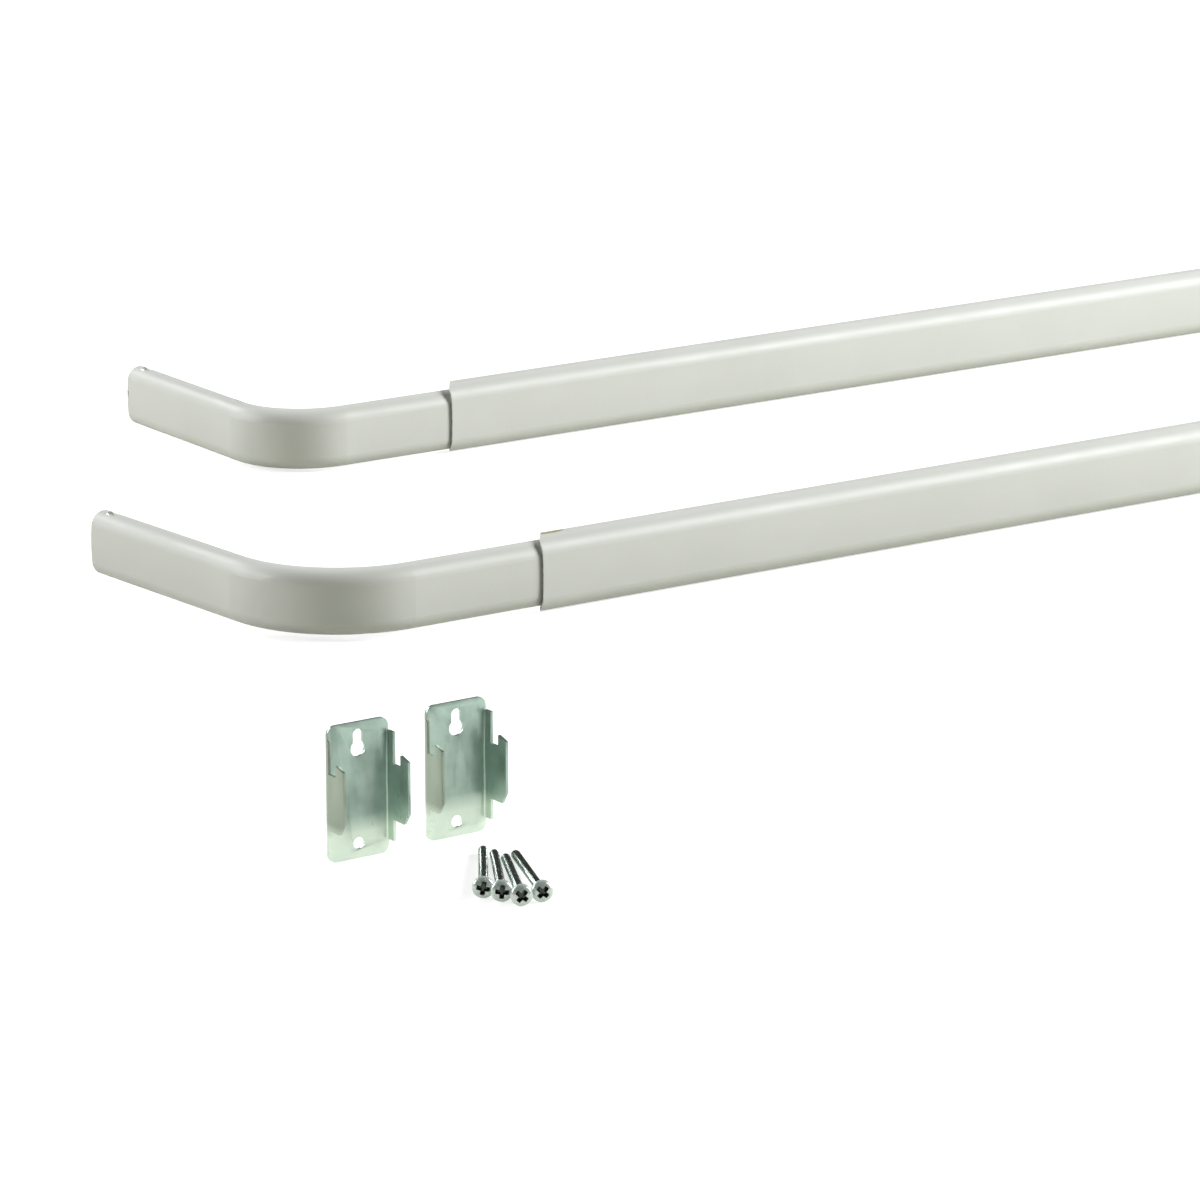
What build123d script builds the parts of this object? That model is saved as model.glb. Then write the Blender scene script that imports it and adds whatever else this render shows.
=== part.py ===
from build123d import *
import math
import os

os.makedirs("parts", exist_ok=True)

# Double curtain rod, sold as a set: two telescoping rods with bent returns, two wall
# brackets and four screws, laid out on a surface. Millimetres, +X along the rods, +Y the
# way the returns point (to the wall), +Z up.

# Rolled steel channel of the narrow half
rod_wall = 0.5
slider_height = 22.0
slider_depth = 8.0
front_crown = 0.8
front_corner = 5.2
back_bevel = 1.8
lip = 5.0

# Room for the narrow half inside the wide half
height_clearance = 2.4
front_clearance = 0.3
back_clearance = 1.1
seat_clearance = 0.3

# The wide half's mouth: behind this much of its front, the walls are cut back at a slant
mouth_land = 2.0
mouth_slant = 6.0

# The wide half's channel follows from the narrow one
sleeve_height = slider_height + height_clearance + 2 * rod_wall
sleeve_depth = slider_depth + front_clearance + back_clearance + 2 * rod_wall
sleeve_front_corner = front_corner + rod_wall
sleeve_lip = lip + rod_wall

# Rods: return lengths and bend radii are taken on the outer face, and a return that has
# sprung open stands out from square by its splay, in degrees
outer_return = 122.0
inner_return = 104.5
outer_bend = 45.0
inner_bend = 31.0
outer_splay = 4.0
inner_splay = 0.0
sleeve_length = 650.0
outer_mouth = 91.0
inner_mouth = 75.6
travel_room = 40.0

# Wall bracket, folded from one sheet
sheet = 0.9
plate_width = 21.2
plate_height = 40.0
plate_corner = 2.6
tab_inset = 0.5
fold_radius = 1.5
flange_inset = 4.0
short_flange = 2.0
long_flange = 3.8

# Tongues that carry the rods' ends, with a tooth that locks into the rod's hole
tongue_bottom = 10.2
tongue_height = 16.4
notch_width = 3.9
tooth_width = 3.9
tooth_height = 3.4
tooth_slope = 1.1
tongue_chamfer_depth = 2.2
tongue_chamfer_height = 3.5

# Screws: pan head with a cross recess
screw_diameter = 2.8
screw_length = 40.0
head_diameter = 6.2
head_flat = 4.6
head_height = 2.3
head_rim = 1.3
recess_width = 3.7
recess_wing = 1.0
recess_depth = 1.5

# Screw holes in the bracket's plate
hole_clearance = 0.8
keyhole_clearance = 0.4
keyhole_diameter = 4.8
hole_rise = 4.4
keyhole_drop = 7.8
keyhole_length = 4.1

# Holes in the rods' top walls, where the teeth lock, set back from the channel's middle
end_clearance = 0.3
tooth_play = 0.8
hook_hole_width = 3.2
hook_hole_setback = 1.0

# Where the pieces lie, from the outer rod's left front corner
inner_left = 114.4
inner_front = 205.3
bracket_spots = [(-98.7, -187.2), (-64.7, -185.6)]
screw_spots = [(-89.7, -237.8), (-87.3, -243.4), (-85.0, -249.6), (-78.4, -249.8)]
screw_headings = [33.5, 30.6, 27.4, 23.2]
screw_rolls = [10.0, 6.0, 38.0, 42.0]

pieces = {}


def channel_section(plane, height, depth, front_radius, lip_height):
    """Open C: crowned front on the plane's -X side, lips folded in at the bevelled back."""
    half_height = height / 2
    half_depth = depth / 2
    with BuildSketch(plane) as section:
        with BuildLine():
            crown = ThreePointArc(
                (front_crown - half_depth, -half_height),
                (-half_depth, 0),
                (front_crown - half_depth, half_height),
            )
            Polyline(
                crown @ 1,
                (half_depth, half_height),
                (half_depth, -half_height),
                crown @ 0,
            )
        make_face()
        fillet(section.vertices().group_by(Axis.X)[0], front_radius)
        chamfer(section.vertices().group_by(Axis.X)[-1], back_bevel)
        offset(amount=-rod_wall, mode=Mode.SUBTRACT)
        with Locations((half_depth, 0)):
            Rectangle(4 * rod_wall, height - 2 * lip_height, mode=Mode.SUBTRACT)
    return section.sketch


def hook_hole_centre():
    """Distance from a rod's end to the middle of the hole that the tooth locks into."""
    return notch_width - end_clearance + tooth_width / 2


def bent_channel(section, route, top):
    """Channel swept along its route, with the tooth's hole through the top wall."""
    return_way = route % 1
    inward = -(route % 0)
    hole_spot = route @ 1 - return_way * hook_hole_centre() + inward * hook_hole_setback
    with BuildPart() as half:
        sweep(sections=section, path=route)
        with BuildSketch(Plane((hole_spot.X, hole_spot.Y, top), x_dir=return_way)):
            SlotOverall(tooth_width + 2 * tooth_play, hook_hole_width)
        extrude(amount=-front_corner, mode=Mode.SUBTRACT)
    return half.part


def make_rod(name, left, front, return_length, bend, splay, mouth, lift):
    """Two halves of one rod: the narrow one at the left slides in the wide one."""
    right = left + mouth + sleeve_length
    slider_middle = front + slider_depth / 2
    slider_centre_z = rod_wall + lift + slider_height / 2
    slider_end = right - bend - travel_room
    slider_x = left + slider_depth / 2
    run_out = return_length * math.sin(math.radians(splay))
    run_back = front + return_length * math.cos(math.radians(splay))
    with BuildLine(Plane.XY.offset(slider_centre_z)) as slider_route:
        FilletPolyline(
            (slider_end, slider_middle),
            (slider_x, slider_middle),
            (slider_x - run_out, run_back),
            radius=bend - slider_depth / 2,
        )
    slider_section = channel_section(
        Plane((slider_end, slider_middle, slider_centre_z), x_dir=(0, 1, 0), z_dir=(-1, 0, 0)),
        slider_height,
        slider_depth,
        front_corner,
        lip,
    )
    pieces[f"{name}_slider"] = bent_channel(
        slider_section, slider_route.wire(), slider_centre_z + slider_height / 2
    )

    sleeve_middle = front - front_clearance - rod_wall + sleeve_depth / 2
    sleeve_x = right - sleeve_depth / 2
    mouth_x = left + mouth
    with BuildLine(Plane.XY.offset(sleeve_height / 2)) as sleeve_route:
        FilletPolyline(
            (mouth_x, sleeve_middle),
            (sleeve_x, sleeve_middle),
            (sleeve_x + run_out, run_back),
            radius=bend - sleeve_depth / 2,
        )
    sleeve_section = channel_section(
        Plane((mouth_x, sleeve_middle, sleeve_height / 2), x_dir=(0, 1, 0), z_dir=(1, 0, 0)),
        sleeve_height,
        sleeve_depth,
        sleeve_front_corner,
        sleeve_lip,
    )
    sleeve_front = sleeve_middle - sleeve_depth / 2
    sleeve_back = sleeve_middle + sleeve_depth / 2
    with BuildPart() as sleeve:
        add(bent_channel(sleeve_section, sleeve_route.wire(), sleeve_height))
        with BuildSketch():
            with BuildLine():
                Polyline(
                    (mouth_x, sleeve_front + mouth_land),
                    (mouth_x + mouth_slant, sleeve_back),
                    (mouth_x, sleeve_back),
                    close=True,
                )
            make_face()
        extrude(amount=sleeve_height, mode=Mode.SUBTRACT)
    pieces[f"{name}_sleeve"] = sleeve.part


def make_bracket():
    """One folded sheet: wall plate, two flanges, and a toothed tongue on each flange."""
    half_width = plate_width / 2
    hole_diameter = screw_diameter + hole_clearance
    slot_width = screw_diameter + keyhole_clearance
    keyhole_z = plate_height - keyhole_drop
    tongue_top = tongue_bottom + tongue_height
    with BuildPart() as bracket:
        with BuildSketch(Plane.XZ):
            with Locations((0, plate_height / 2)):
                RectangleRounded(plate_width - 2 * tab_inset, plate_height, plate_corner)
        extrude(amount=sheet)
        with BuildSketch(Plane.XY.offset(flange_inset)):
            with BuildLine():
                FilletPolyline(
                    (-half_width, -short_flange),
                    (-half_width, 0),
                    (half_width, 0),
                    (half_width, -long_flange),
                    radius=fold_radius,
                )
                offset(amount=sheet, side=Side.RIGHT)
            make_face()
        extrude(amount=plate_height - 2 * flange_inset)
        for outer_face, flange, inward in (
            (-half_width, short_flange, 1),
            (half_width, long_flange, -1),
        ):
            reach = flange + notch_width + tooth_width
            with BuildSketch(Plane.YZ.offset(outer_face)):
                with BuildLine():
                    Polyline(
                        (-flange, tongue_bottom),
                        (tongue_chamfer_depth - reach, tongue_bottom),
                        (-reach, tongue_bottom + tongue_chamfer_height),
                        (-reach, tongue_top + tooth_height - tooth_slope),
                        (tooth_width - reach, tongue_top + tooth_height),
                        (tooth_width - reach, tongue_top),
                        (-flange, tongue_top),
                        close=True,
                    )
                make_face()
            extrude(amount=inward * sheet)
        with BuildSketch(Plane.XZ):
            with Locations((0, hole_rise)):
                Circle(hole_diameter / 2)
            with Locations((0, keyhole_z)):
                Circle(keyhole_diameter / 2)
            with Locations((0, keyhole_z + keyhole_length / 2)):
                SlotCenterToCenter(keyhole_length, slot_width, rotation=90)
        extrude(amount=sheet, mode=Mode.SUBTRACT)
    return bracket.part


def make_screw():
    """Screw along +Y, with the seat of its pan head at the origin."""
    head_radius = head_diameter / 2
    shank_radius = screw_diameter / 2
    with BuildPart() as screw:
        with BuildSketch():
            with BuildLine():
                Polyline(
                    (0, -head_height),
                    (head_flat / 2, -head_height),
                    (head_radius, -head_rim),
                    (head_radius, 0),
                    (shank_radius, 0),
                    (shank_radius, screw_length),
                    (0, screw_length),
                    close=True,
                )
            make_face()
        revolve(axis=Axis.Y)
        with BuildSketch(Plane.XZ.offset(head_height)):
            Rectangle(recess_width, recess_wing)
            Rectangle(recess_wing, recess_width)
        extrude(amount=-recess_depth, mode=Mode.SUBTRACT)
    return screw.part


# The outer rod's narrow half rides midway up its sleeve, the inner rod's sits on the bottom
outer_lift = height_clearance / 2
make_rod(
    "outer_rod", 0, 0, outer_return, outer_bend, outer_splay, outer_mouth, outer_lift
)
make_rod(
    "inner_rod",
    inner_left,
    inner_front,
    inner_return,
    inner_bend,
    inner_splay,
    inner_mouth,
    seat_clearance,
)

bracket_blank = make_bracket()
for number, (x, y) in enumerate(bracket_spots, start=1):
    pieces[f"bracket_{number}"] = bracket_blank.moved(Location((x, y, 0)))

# A screw lies with its head's rim and the end of its shank on the surface
screw_blank = make_screw()
screw_droop = math.degrees(math.atan2((head_diameter - screw_diameter) / 2, screw_length))
screw_lift = head_diameter / 2 * math.cos(math.radians(screw_droop))
for number, (x, y) in enumerate(screw_spots, start=1):
    heading = Location((x, y, screw_lift), (0, 0, -screw_headings[number - 1]))
    droop = Location((0, 0, 0), (-screw_droop, 0, 0))
    roll = Location((0, 0, 0), (0, screw_rolls[number - 1], 0))
    pieces[f"screw_{number}"] = screw_blank.moved(heading * droop * roll)

# The origin is on the surface, at the middle of the set's footprint
footprint = Compound(children=list(pieces.values())).bounding_box()
to_origin = Location((-footprint.center().X, -footprint.center().Y, 0))
for name, piece in pieces.items():
    with BuildPart() as placed:
        with Locations(to_origin):
            add(piece)
    placed.part.label = name
    export_step(placed.part, f"parts/{name}.step")
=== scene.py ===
import math

import bmesh
import bpy
from mathutils import Matrix, Vector


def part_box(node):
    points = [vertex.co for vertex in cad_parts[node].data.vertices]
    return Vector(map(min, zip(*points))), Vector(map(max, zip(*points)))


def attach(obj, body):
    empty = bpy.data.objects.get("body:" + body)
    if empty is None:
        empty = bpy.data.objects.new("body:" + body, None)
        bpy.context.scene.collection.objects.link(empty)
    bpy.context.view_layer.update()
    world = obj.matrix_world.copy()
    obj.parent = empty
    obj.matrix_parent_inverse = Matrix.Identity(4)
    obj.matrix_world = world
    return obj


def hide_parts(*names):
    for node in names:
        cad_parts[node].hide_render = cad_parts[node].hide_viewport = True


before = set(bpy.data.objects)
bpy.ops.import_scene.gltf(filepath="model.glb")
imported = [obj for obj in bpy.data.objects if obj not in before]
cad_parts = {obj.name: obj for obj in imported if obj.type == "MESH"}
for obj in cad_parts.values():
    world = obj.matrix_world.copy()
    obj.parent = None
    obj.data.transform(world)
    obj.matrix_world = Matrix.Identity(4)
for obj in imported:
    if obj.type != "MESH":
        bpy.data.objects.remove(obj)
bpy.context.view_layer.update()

# Lengths are in metres and angles in degrees. The set is laid out from the outer rod's
# left front corner.
OUTER_MOUTH = 0.091
OUTER_SPLAY = 4.0
CORNER = Vector(
    (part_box("outer_rod_sleeve")[0].x - OUTER_MOUTH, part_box("outer_rod_slider")[0].y, 0.0)
)

# Camera
CAMERA_OFFSET = Vector((-0.8999, -1.4644, 0.4779))
CAMERA_AZIMUTH = 34.70
CAMERA_DROP = 14.975
CAMERA_LENS = 168.0
CAMERA_SENSOR = 36.0
CAMERA_REACH = 100.0

# Lamps: where each one stands, its width and height, and its power in watts
LAMPS = {
    "key": ((1.74, -1.27, 1.25), 1.3, 1.3, 88.0),
    "left": ((-3.59, 2.05, 1.75), 2.0, 1.6, 106.0),
    "back": ((-1.34, 3.24, 2.20), 1.8, 1.0, 72.0),
}
LAMP_COLOUR = (0.97, 0.975, 1.0)
LAMP_TARGET = (-0.2, 0.0, 0.0)

# Room: how much light it gives, how bright its walls and its white backdrop look in
# reflections, and where the backdrop fades along a reflection's Z and X
ROOM_COLOUR = (1.0, 1.0, 0.88, 1)
ROOM_LIGHT = 0.05
ROOM_GLOSS = 0.07
BACKDROP_GLOSS = 0.6
BACKDROP_TOP = (0.02, 0.12)
BACKDROP_LEFT = (0.62, 0.72)

# Floor: its colour to the camera and to the light that it throws back, and how much it glows
# within the near distance and beyond the far one
FLOOR_SIZE = 30.0
FLOOR_COLOUR = (0.60, 0.60, 0.59, 1)
FLOOR_BOUNCE = (0.54, 0.55, 0.47, 1)
NEAR_FLOOR = 1.0
FAR_FLOOR = 2.6
NEAR_GLOW = 0.72
FAR_GLOW = 1.0

# Colours
PAINT_DARK = (0.70, 0.71, 0.655, 1)
PAINT_LIGHT = (0.735, 0.745, 0.695, 1)
BARE_STEEL = (0.16, 0.165, 0.135, 1)
CHIP_COLOUR = (0.10, 0.105, 0.09, 1)
TAPE_COLOUR = (0.36, 0.34, 0.14, 1)
ZINC_DARK = (0.37, 0.495, 0.435, 1)
ZINC_LIGHT = (0.44, 0.565, 0.505, 1)
# Khaki tint of the plating, made darker as painted shade on the left flange
ZINC_KHAKI_SHADE = (0.30, 0.335, 0.262, 1)
# Painted reflection of the white floor on the bracket's foot
ZINC_FLOOR_SHEEN = (0.80, 0.92, 0.80, 1)
SHANK_DARK = (0.34, 0.40, 0.365, 1)
SHANK_LIGHT = (0.46, 0.52, 0.485, 1)
# Painted sheen: the head's plating is painted paler than the shank's
HEAD_SHEEN_DARK = (0.66, 0.74, 0.69, 1)
HEAD_SHEEN_LIGHT = (0.76, 0.84, 0.79, 1)
# Painted shade: near-black colour for the shade in the screws' cross recess
RECESS_SHADE_DARK = (0.05, 0.06, 0.055, 1)
RECESS_SHADE_LIGHT = (0.12, 0.135, 0.125, 1)

# Rods: where the paint thins out before a cut end and where it is thinnest, and the marks,
# each with its place from its half's box, its size and how strongly it shows
CUT_START = 0.0004
CUT_FULL = 0.0001
CUT_SHOWN = 0.75
TAPE_PLACE = (0.0075, 0.0080)
TAPE_SIZE = (0.0065, 0.0024, 0.001)
TAPE_SHOWN = 0.95
END_CHIP_HEIGHT = 0.0132
END_CHIP_SIZE = (0.002, 0.0010, 0.0017)
END_CHIP_SHOWN = 0.9
BEND_CHIP_PLACE = (0.0062, 0.034)
BEND_CHIP_SIZE = (0.0008, 0.004, 0.0006)
BEND_CHIP_SHOWN = 0.6

# Screws: flare and taper scale the cross recess above the head and at its bottom, the ridge is a
# share of the thread's pitch, and each spot has its x, y, heading and roll
SCREW_DIAMETER = 0.0028
SCREW_LENGTH = 0.040
SCREW_TIP = 0.0012
SCREW_TIP_DIAMETER = 0.0016
HEAD_DIAMETER = 0.0062
HEAD_HEIGHT = 0.0023
HEAD_RIM = 0.0009
HEAD_EDGE = 0.00015
RECESS_WIDTH = 0.0039
RECESS_WING = 0.0013
RECESS_DEPTH = 0.0015
RECESS_FLARE = 1.27
RECESS_TAPER = 0.55
RECESS_EDGE = 0.00004
CUTTER_RISE = 0.0005
THREAD_PITCH = 0.0011
THREAD_DEPTH = 0.0002
THREAD_RIDGE = 0.6
THREAD_START = 0.0016
THREAD_STEPS = 8
DOME_STEPS = 12
SCREW_SIDES = 40
SCREW_SHARP = 35.0
SCREW_SPOTS = {
    "screw_1": (-0.0897, -0.2378, 33.5, 10.0),
    "screw_2": (-0.0873, -0.2434, 30.6, 6.0),
    "screw_3": (-0.0850, -0.2496, 27.4, 38.0),
    "screw_4": (-0.0784, -0.2498, 23.2, 42.0),
}

# Brackets: how the sheet's edges are broken, where the plating is khaki and darkened there as painted
# shade, and the painted reflection of the floor that lightens the foot
BRACKETS = ("bracket_1", "bracket_2")
SHEET_EDGE = 0.00014
EDGE_STEPS = 2
EDGE_ANGLE = 40.0
FLAT_ANGLE = 0.5
SAME_POINT = 1e-6
BRACKET_SHARP = 30.0
# Khaki tint with painted shade along the left flange of each bracket
KHAKI_SHADE_SIZE = (0.0017, 0.02, 0.03)
KHAKI_SHADE_SHOWN = 0.8
# Painted reflection of the white floor: the plating lightens from the first height down to the second
FLOOR_SHEEN_TOP = 0.0125
FLOOR_SHEEN_FULL = 0.0075
FLOOR_SHEEN_SHOWN = 0.9


class Nodes:
    """Short way to build the node tree of a material or a world."""

    def __init__(self, owner):
        owner.use_nodes = True
        self.owner = owner
        self.tree = owner.node_tree
        self.shader = self.tree.nodes.get("Principled BSDF")
        self.coordinates = self.add("ShaderNodeTexCoord")
        self.place = self.coordinates.outputs["Object"]

    def add(self, kind, inputs=None, **settings):
        node = self.tree.nodes.new(kind)
        for key, value in settings.items():
            setattr(node, key, value)
        for key, value in (inputs or {}).items():
            if isinstance(value, bpy.types.NodeSocket):
                self.tree.links.new(value, node.inputs[key])
            else:
                node.inputs[key].default_value = value
        return node

    def link(self, source, key):
        self.tree.links.new(source, self.shader.inputs[key])

    def stretched(self, scale):
        """Object coordinates stretched by a different factor along each axis."""
        return self.add("ShaderNodeMapping", {"Vector": self.place, "Scale": scale}).outputs["Vector"]

    def noise(self, scale, detail=2.0, roughness=0.5, place=None):
        inputs = {
            "Vector": place or self.place,
            "Scale": scale,
            "Detail": detail,
            "Roughness": roughness,
        }
        return self.add("ShaderNodeTexNoise", inputs).outputs["Fac"]

    def spread(self, source, low, high, to_low, to_high):
        inputs = {
            "Value": source,
            "From Min": low,
            "From Max": high,
            "To Min": to_low,
            "To Max": to_high,
        }
        return self.add("ShaderNodeMapRange", inputs).outputs["Result"]

    def along(self, direction):
        """How far a point lies along a direction."""
        node = self.add("ShaderNodeVectorMath", {0: self.place, 1: direction}, operation="DOT_PRODUCT")
        return node.outputs["Value"]

    def patch(self, centre, size):
        """1 inside an ellipsoid, 0 outside it, with a soft rim."""
        offset = self.add("ShaderNodeVectorMath", {0: self.place, 1: centre}, operation="SUBTRACT")
        scaled = self.add(
            "ShaderNodeVectorMath", {0: offset.outputs["Vector"], 1: size}, operation="DIVIDE"
        )
        length = self.add("ShaderNodeVectorMath", {0: scaled.outputs["Vector"]}, operation="LENGTH")
        return self.spread(length.outputs["Value"], 0.7, 1.0, 1.0, 0.0)

    def times(self, first, second):
        return self.add("ShaderNodeMath", {0: first, 1: second}, operation="MULTIPLY").outputs[0]

    def most(self, first, second):
        return self.add("ShaderNodeMath", {0: first, 1: second}, operation="MAXIMUM").outputs[0]

    def blend(self, factor, first, second):
        node = self.add("ShaderNodeMix", data_type="RGBA")
        kinds = {"Factor": "VALUE", "A": "RGBA", "B": "RGBA"}
        for key, value in (("Factor", factor), ("A", first), ("B", second)):
            socket = next(s for s in node.inputs if s.name == key and s.type == kinds[key])
            if isinstance(value, bpy.types.NodeSocket):
                self.tree.links.new(value, socket)
            else:
                socket.default_value = value
        return next(s for s in node.outputs if s.type == "RGBA")

    def bump(self, height, strength, distance):
        node = self.add(
            "ShaderNodeBump", {"Height": height, "Strength": strength, "Distance": distance}
        )
        self.link(node.outputs["Normal"], "Normal")


def rod_paint(name, cut_ends, marks):
    """Semi-gloss off-white enamel with a fine orange peel; thin at the cut ends, and marked."""
    nodes = Nodes(bpy.data.materials.new("paint_" + name))
    clouds = nodes.spread(nodes.noise(26.0, 3.0), 0.3, 0.7, 0.0, 1.0)
    colour = nodes.blend(clouds, PAINT_DARK, PAINT_LIGHT)
    grain = nodes.spread(nodes.noise(70.0, 4.0), 0.3, 0.7, 0.42, 0.52)
    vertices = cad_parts[name].data.vertices
    for direction in cut_ends:
        reach = max(v.co.dot(direction) for v in vertices)
        near_end = nodes.along(direction)
        bare = nodes.spread(near_end, reach - CUT_START, reach - CUT_FULL, 0.0, CUT_SHOWN)
        patchy = nodes.times(bare, nodes.spread(nodes.noise(600.0, 3.0), 0.35, 0.6, 0.55, 1.0))
        colour = nodes.blend(patchy, colour, BARE_STEEL)
    for centre, size, mark_colour, strength in marks:
        ragged = nodes.spread(nodes.noise(1400.0, 3.0), 0.3, 0.55, 0.4, 1.0)
        shown = nodes.times(nodes.times(nodes.patch(centre, size), ragged), strength)
        colour = nodes.blend(shown, colour, mark_colour)
    nodes.link(colour, "Base Color")
    nodes.link(grain, "Roughness")
    nodes.shader.inputs["IOR"].default_value = 1.5
    nodes.bump(nodes.noise(900.0, 2.0), 0.06, 0.0004)
    return nodes.owner


def bracket_zinc():
    """Satin zinc plating on rolled sheet, khaki along one side with painted shade there, and a painted
    reflection of the floor that lightens the foot.
    """
    nodes = Nodes(bpy.data.materials.new("bracket_zinc"))
    nodes.shader.inputs["Metallic"].default_value = 0.7
    streaks = nodes.noise(60.0, 4.0, 0.6, nodes.stretched((9.0, 9.0, 1.0)))
    blotches = nodes.spread(nodes.noise(230.0, 3.0), 0.35, 0.65, 0.0, 1.0)
    colour = nodes.blend(blotches, ZINC_DARK, ZINC_LIGHT)
    for name in BRACKETS:
        low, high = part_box(name)
        edge = (low.x, (low.y + high.y) / 2, (low.z + high.z) / 2)
        # Khaki tint, darkened as painted shade on the left flange and tongue
        khaki = nodes.times(nodes.patch(edge, KHAKI_SHADE_SIZE), KHAKI_SHADE_SHOWN)
        colour = nodes.blend(khaki, colour, ZINC_KHAKI_SHADE)
    # Painted reflection: the plating is lightened towards the foot, where it would mirror the floor
    painted_floor_sheen = nodes.spread(nodes.along((0, 0, 1)), FLOOR_SHEEN_TOP, FLOOR_SHEEN_FULL, 0.0, FLOOR_SHEEN_SHOWN)
    colour = nodes.blend(painted_floor_sheen, colour, ZINC_FLOOR_SHEEN)
    nodes.link(colour, "Base Color")
    nodes.link(nodes.spread(streaks, 0.3, 0.7, 0.26, 0.38), "Roughness")
    nodes.bump(streaks, 0.05, 0.0003)
    return nodes.owner


def plating(name, metallic, scale, dark, light, smooth, rough):
    """Speckled plating: rougher where it is lighter, between two roughnesses."""
    nodes = Nodes(bpy.data.materials.new(name))
    nodes.shader.inputs["Metallic"].default_value = metallic
    speckle = nodes.noise(scale, 3.0)
    rubbed = nodes.spread(speckle, 0.35, 0.65, 0.0, 1.0)
    nodes.link(nodes.blend(rubbed, dark, light), "Base Color")
    nodes.link(nodes.spread(speckle, 0.3, 0.7, smooth, rough), "Roughness")
    return nodes.owner


def screw_steel():
    """Bright zinc plating on the shank, a little rubbed."""
    return plating("screw_steel", 1.0, 900.0, SHANK_DARK, SHANK_LIGHT, 0.14, 0.26)


def screw_head_sheen():
    """The same plating on the head, duller than a mirror and painted paler than the shank as painted
    sheen.
    """
    return plating("screw_head_sheen", 0.4, 900.0, HEAD_SHEEN_DARK, HEAD_SHEEN_LIGHT, 0.20, 0.32)


def screw_recess_shade():
    """Painted shade down in the cross recess: the plating there is coloured near black for the shade
    that falls in it.
    """
    return plating("screw_recess_shade", 1.0, 1500.0, RECESS_SHADE_DARK, RECESS_SHADE_LIGHT, 0.375, 0.575)


def dress_rods():
    """Paint each half, with bare steel at its cut ends and its own wear marks."""
    splay = math.radians(OUTER_SPLAY)
    left_back = Vector((-math.sin(splay), math.cos(splay), 0.0))
    right_back = Vector((math.sin(splay), math.cos(splay), 0.0))
    back = Vector((0.0, 1.0, 0.0))
    mouth = Vector((-1.0, 0.0, 0.0))
    outer_low, outer_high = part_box("outer_rod_sleeve")
    inner_low, inner_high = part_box("inner_rod_slider")
    tape_spot = (outer_low.x + TAPE_PLACE[0], outer_low.y + TAPE_PLACE[1], outer_high.z)
    tape = (tape_spot, TAPE_SIZE, TAPE_COLOUR, TAPE_SHOWN)
    end_spot = (inner_low.x, inner_high.y, END_CHIP_HEIGHT)
    end_chip = (end_spot, END_CHIP_SIZE, CHIP_COLOUR, END_CHIP_SHOWN)
    bend_x, bend_y = BEND_CHIP_PLACE
    bend_spot = (inner_low.x + bend_x, inner_low.y + bend_y, inner_high.z)
    bend_chip = (bend_spot, BEND_CHIP_SIZE, CHIP_COLOUR, BEND_CHIP_SHOWN)
    dressed = {
        "outer_rod_sleeve": ((mouth, right_back), (tape,)),
        "outer_rod_slider": ((left_back,), ()),
        "inner_rod_sleeve": ((mouth, back), ()),
        "inner_rod_slider": ((back,), (end_chip, bend_chip)),
    }
    for name, (cut_ends, marks) in dressed.items():
        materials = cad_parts[name].data.materials
        materials.clear()
        materials.append(rod_paint(name, cut_ends, marks))


def add_piece(name, mesh, node, materials):
    piece = bpy.data.objects.new(name, mesh)
    bpy.context.scene.collection.objects.link(piece)
    mesh.materials.clear()
    for material in materials:
        mesh.materials.append(material)
    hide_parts(node)
    return piece


def settled(piece):
    """The piece's mesh with its modifiers carried out."""
    graph = bpy.context.evaluated_depsgraph_get()
    return bpy.data.meshes.new_from_object(piece.evaluated_get(graph))


def soft_edged(node):
    """The node's sheet-metal form with its sheared edges broken."""
    form = bmesh.new()
    form.from_mesh(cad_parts[node].data)
    bmesh.ops.remove_doubles(form, verts=form.verts, dist=SAME_POINT)
    bmesh.ops.dissolve_limit(
        form, angle_limit=math.radians(FLAT_ANGLE), verts=form.verts, edges=form.edges
    )
    mesh = bpy.data.meshes.new(node + "_blank")
    form.to_mesh(mesh)
    form.free()
    blank = bpy.data.objects.new(node + "_blank", mesh)
    bpy.context.scene.collection.objects.link(blank)
    edges = blank.modifiers.new("edges", "BEVEL")
    edges.width = SHEET_EDGE
    edges.segments = EDGE_STEPS
    edges.limit_method = "ANGLE"
    edges.angle_limit = math.radians(EDGE_ANGLE)
    bpy.context.view_layer.update()
    finished = settled(blank)
    bpy.data.objects.remove(blank)
    finished.shade_smooth()
    finished.set_sharp_from_angle(angle=math.radians(BRACKET_SHARP))
    return finished


def make_brackets():
    material = bracket_zinc()
    for node in BRACKETS:
        piece = add_piece(node + "_sheet", soft_edged(node), node, (material,))
        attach(piece, "set")


def thread_radius(turn, distance):
    """Radius of the threaded shank at a turn from 0 to 1 and a distance from the head's seat."""
    crest = SCREW_DIAMETER / 2
    phase = (distance / THREAD_PITCH - turn) % 1.0
    flank = min(1.0, abs(2.0 * phase - 1.0) / THREAD_RIDGE)
    fade_in = min(1.0, max(0.0, (distance - THREAD_START) / THREAD_PITCH))
    radius = crest - THREAD_DEPTH * flank * fade_in
    tip_start = SCREW_LENGTH - SCREW_TIP
    if distance > tip_start:
        share = (distance - tip_start) / SCREW_TIP
        radius += (SCREW_TIP_DIAMETER / 2 - radius) * share
    return radius


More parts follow.
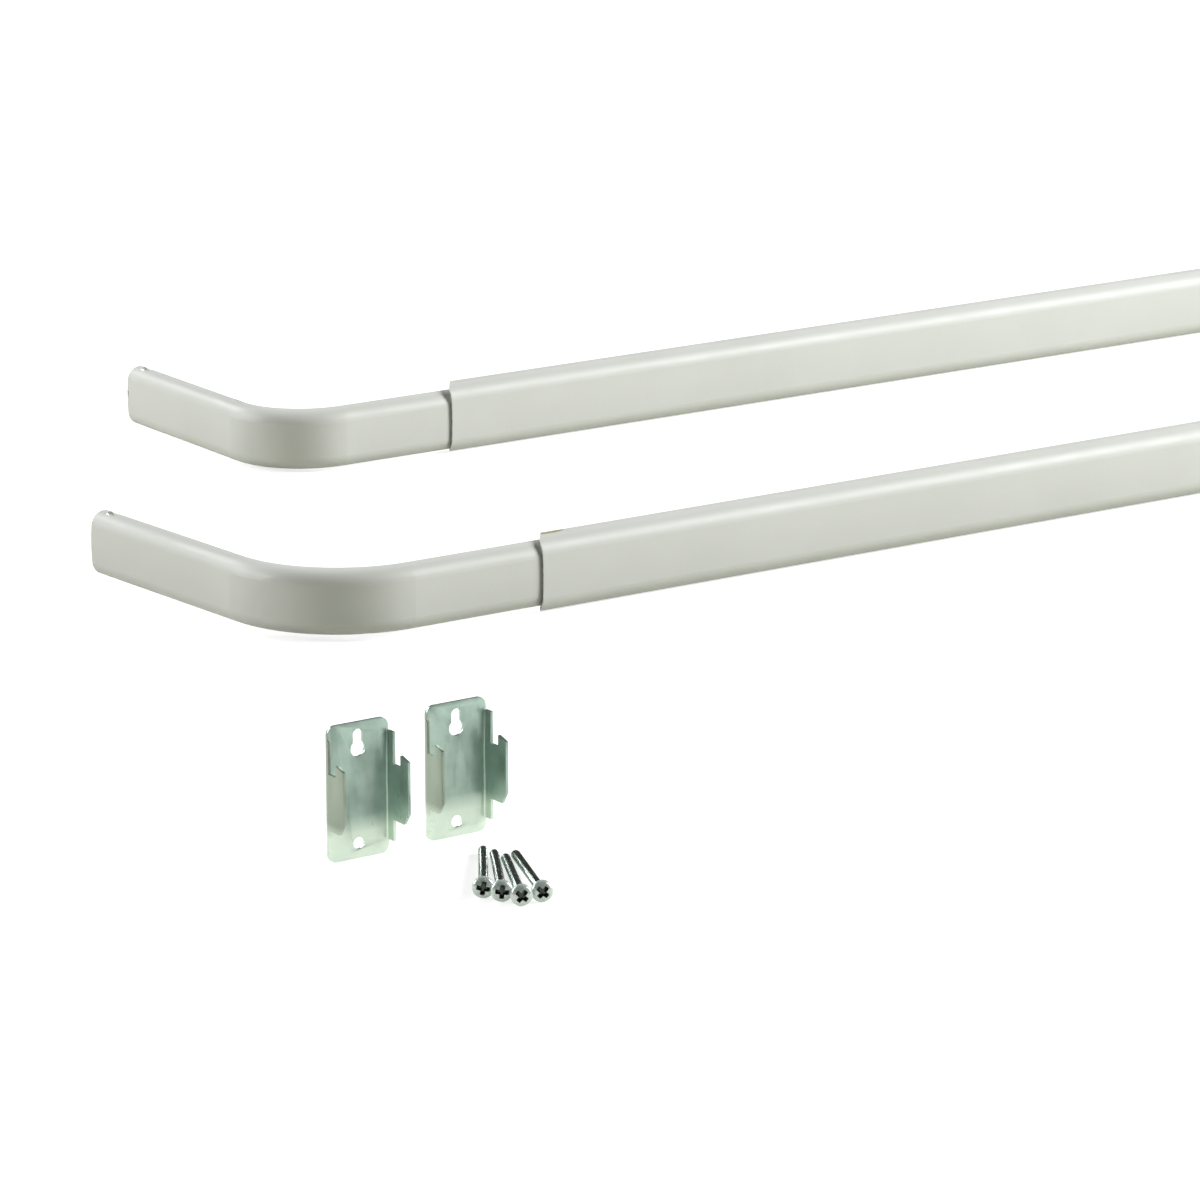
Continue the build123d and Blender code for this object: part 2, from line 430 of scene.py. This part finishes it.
def screw_profile(turn):
    """Radius and height of the screw's outline, from the top of its head to its tip."""
    head_radius = HEAD_DIAMETER / 2
    dome = HEAD_HEIGHT - HEAD_RIM
    outline = []
    for step in range(1, DOME_STEPS + 1):
        angle = math.radians(90.0 * step / DOME_STEPS)
        outline.append((head_radius * math.sin(angle), -HEAD_RIM - dome * math.cos(angle)))
    outline.append((head_radius, -HEAD_EDGE))
    outline.append((head_radius - HEAD_EDGE, 0.0))
    outline.append((SCREW_DIAMETER / 2 + HEAD_EDGE, 0.0))
    steps = int(THREAD_STEPS * SCREW_LENGTH / THREAD_PITCH)
    for step in range(1, steps + 1):
        distance = SCREW_LENGTH * step / steps
        outline.append((thread_radius(turn, distance), distance))
    return outline


def cross_cutter():
    """Tapered cross that leaves the driver's recess."""
    half_width = RECESS_WIDTH / 2
    half_wing = RECESS_WING / 2
    corners = []
    for quarter in range(4):
        turn = Matrix.Rotation(math.radians(90.0 * quarter), 2)
        for x, z in ((half_width, -half_wing), (half_width, half_wing), (half_wing, half_wing)):
            corners.append(turn @ Vector((x, z)))
    cutter = bmesh.new()
    rings = []
    above = -HEAD_HEIGHT - CUTTER_RISE
    for y, scale in ((above, RECESS_FLARE), (RECESS_DEPTH - HEAD_HEIGHT, RECESS_TAPER)):
        rings.append([cutter.verts.new((scale * c.x, y, scale * c.y)) for c in corners])
    count = len(corners)
    for i in range(count):
        j = (i + 1) % count
        cutter.faces.new((rings[0][i], rings[0][j], rings[1][j], rings[1][i]))
    cutter.faces.new(rings[0])
    cutter.faces.new(rings[1])
    bmesh.ops.recalc_face_normals(cutter, faces=cutter.faces)
    mesh = bpy.data.meshes.new("cross_cutter")
    cutter.to_mesh(mesh)
    cutter.free()
    piece = bpy.data.objects.new("cross_cutter", mesh)
    bpy.context.scene.collection.objects.link(piece)
    return piece


def screw_mesh():
    """One screw along +Y, the seat of its domed head at the origin."""
    form = bmesh.new()
    columns = []
    for i in range(SCREW_SIDES):
        turn = i / SCREW_SIDES
        angle = math.radians(360.0 * turn)
        points = screw_profile(turn)
        columns.append(
            [form.verts.new((r * math.cos(angle), y, r * math.sin(angle))) for r, y in points]
        )
    top = form.verts.new((0.0, -HEAD_HEIGHT, 0.0))
    tip = form.verts.new((0.0, SCREW_LENGTH, 0.0))
    for i in range(SCREW_SIDES):
        here = columns[i]
        following = columns[(i + 1) % SCREW_SIDES]
        form.faces.new((top, here[0], following[0]))
        form.faces.new((tip, following[-1], here[-1]))
        for k in range(len(here) - 1):
            form.faces.new((here[k], here[k + 1], following[k + 1], following[k]))
    bmesh.ops.recalc_face_normals(form, faces=form.faces)
    mesh = bpy.data.meshes.new("screw_blank")
    form.to_mesh(mesh)
    form.free()
    blank = bpy.data.objects.new("screw_blank", mesh)
    bpy.context.scene.collection.objects.link(blank)
    cutter = cross_cutter()
    cross = blank.modifiers.new("cross", "BOOLEAN")
    cross.operation = "DIFFERENCE"
    cross.solver = "EXACT"
    cross.object = cutter
    bpy.context.view_layer.update()
    finished = settled(blank)
    bpy.data.objects.remove(blank)
    bpy.data.objects.remove(cutter)
    finished.shade_smooth()
    finished.set_sharp_from_angle(angle=math.radians(SCREW_SHARP))
    return finished


def recess_faces(mesh):
    """Numbers of the faces that lie inside the cross recess of a screw along +Y."""
    head_radius = HEAD_DIAMETER / 2
    dome = HEAD_HEIGHT - HEAD_RIM
    inside = []
    for face in mesh.polygons:
        radius = math.hypot(face.center.x, face.center.z)
        if radius < RECESS_WIDTH / 2 and face.center.y < -HEAD_EDGE:
            surface = -HEAD_RIM - dome * math.sqrt(1.0 - (radius / head_radius) ** 2)
            if face.center.y > surface + RECESS_EDGE:
                inside.append(face.index)
    return inside


def make_screws():
    """Each screw lies with its head's rim and the end of its shank on the floor."""
    # The head's plating is painted paler than the shank's, as painted sheen
    materials = (screw_steel(), screw_head_sheen(), screw_recess_shade())
    blank = screw_mesh()
    head = [face.index for face in blank.polygons if face.center.y < 0.0]
    recess = recess_faces(blank)
    droop = math.atan2((HEAD_DIAMETER - SCREW_DIAMETER) / 2, SCREW_LENGTH)
    lift = HEAD_DIAMETER / 2 * math.cos(droop)
    for node, (x, y, heading, roll) in SCREW_SPOTS.items():
        mesh = blank.copy()
        mesh.transform(
            Matrix.Translation(CORNER + Vector((x, y, lift)))
            @ Matrix.Rotation(-math.radians(heading), 4, "Z")
            @ Matrix.Rotation(-droop, 4, "X")
            @ Matrix.Rotation(math.radians(roll), 4, "Y")
        )
        piece = add_piece(node + "_threaded", mesh, node, materials)
        # The recess faces take the painted shade
        for number, faces in enumerate((head, recess), start=1):
            for index in faces:
                mesh.polygons[index].material_index = number
        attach(piece, "set")
    bpy.data.meshes.remove(blank)


def make_floor():
    """Pale floor that reads as the white ground, and still takes the set's shadow."""
    bpy.ops.mesh.primitive_plane_add(size=FLOOR_SIZE)
    floor = bpy.context.object
    floor.name = "floor"
    nodes = Nodes(bpy.data.materials.new("floor"))
    tree = nodes.tree
    path = nodes.add("ShaderNodeLightPath")
    seen = nodes.most(path.outputs["Is Camera Ray"], path.outputs["Is Glossy Ray"])
    colour = nodes.blend(path.outputs["Is Camera Ray"], FLOOR_BOUNCE, FLOOR_COLOUR)
    nodes.link(colour, "Base Color")
    nodes.shader.inputs["Roughness"].default_value = 1.0
    nodes.shader.inputs["Specular IOR Level"].default_value = 0.0
    away = nodes.add("ShaderNodeVectorMath", {0: nodes.place}, operation="LENGTH").outputs["Value"]
    level = nodes.spread(away, NEAR_FLOOR, FAR_FLOOR, NEAR_GLOW, FAR_GLOW)
    glow = nodes.add(
        "ShaderNodeEmission", {"Color": (1, 1, 1, 1), "Strength": nodes.times(seen, level)}
    )
    both = nodes.add("ShaderNodeAddShader")
    tree.links.new(nodes.shader.outputs[0], both.inputs[0])
    tree.links.new(glow.outputs[0], both.inputs[1])
    tree.links.new(both.outputs[0], tree.nodes["Material Output"].inputs["Surface"])
    floor.data.materials.append(nodes.owner)


def make_world():
    """White to the camera and a dim room for the light. Reflections see a dark room that is
    white low down at the right."""
    world = bpy.data.worlds.new("studio")
    bpy.context.scene.world = world
    nodes = Nodes(world)
    tree = nodes.tree
    path = nodes.add("ShaderNodeLightPath")
    way = nodes.add("ShaderNodeSeparateXYZ", {0: nodes.coordinates.outputs["Generated"]})
    low = nodes.spread(way.outputs["Z"], *BACKDROP_TOP, 1.0, 0.0)
    right = nodes.spread(way.outputs["X"], *BACKDROP_LEFT, 0.0, 1.0)
    mirrored = nodes.spread(nodes.times(low, right), 0.0, 1.0, ROOM_GLOSS, BACKDROP_GLOSS)
    strength = nodes.spread(path.outputs["Is Glossy Ray"], 0.0, 1.0, ROOM_LIGHT, mirrored)
    room = tree.nodes["Background"]
    room.inputs["Color"].default_value = ROOM_COLOUR
    tree.links.new(strength, room.inputs["Strength"])
    white = nodes.add("ShaderNodeBackground", {"Color": (1, 1, 1, 1), "Strength": 1.0})
    seen = nodes.add(
        "ShaderNodeMixShader",
        {0: path.outputs["Is Camera Ray"], 1: room.outputs[0], 2: white.outputs[0]},
    )
    tree.links.new(seen.outputs[0], tree.nodes["World Output"].inputs["Surface"])


def make_lamp(name, place, width, height, power):
    data = bpy.data.lights.new(name, "AREA")
    data.shape = "RECTANGLE"
    data.size = width
    data.size_y = height
    data.energy = power
    data.color = LAMP_COLOUR
    lamp = bpy.data.objects.new(name, data)
    bpy.context.scene.collection.objects.link(lamp)
    lamp.location = place
    aim = Vector(LAMP_TARGET) - Vector(place)
    lamp.rotation_euler = aim.to_track_quat("-Z", "Y").to_euler()


def make_camera():
    data = bpy.data.cameras.new("camera")
    data.lens = CAMERA_LENS
    data.sensor_width = CAMERA_SENSOR
    data.clip_end = CAMERA_REACH
    camera = bpy.data.objects.new("camera", data)
    bpy.context.scene.collection.objects.link(camera)
    camera.location = CORNER + CAMERA_OFFSET
    camera.rotation_euler = (math.radians(90.0 - CAMERA_DROP), 0.0, -math.radians(CAMERA_AZIMUTH))
    bpy.context.scene.camera = camera


dress_rods()
make_brackets()
make_screws()
make_floor()
make_world()
for name, (place, width, height, power) in LAMPS.items():
    make_lamp(name, place, width, height, power)
make_camera()

bpy.context.scene.view_settings.view_transform = "Standard"
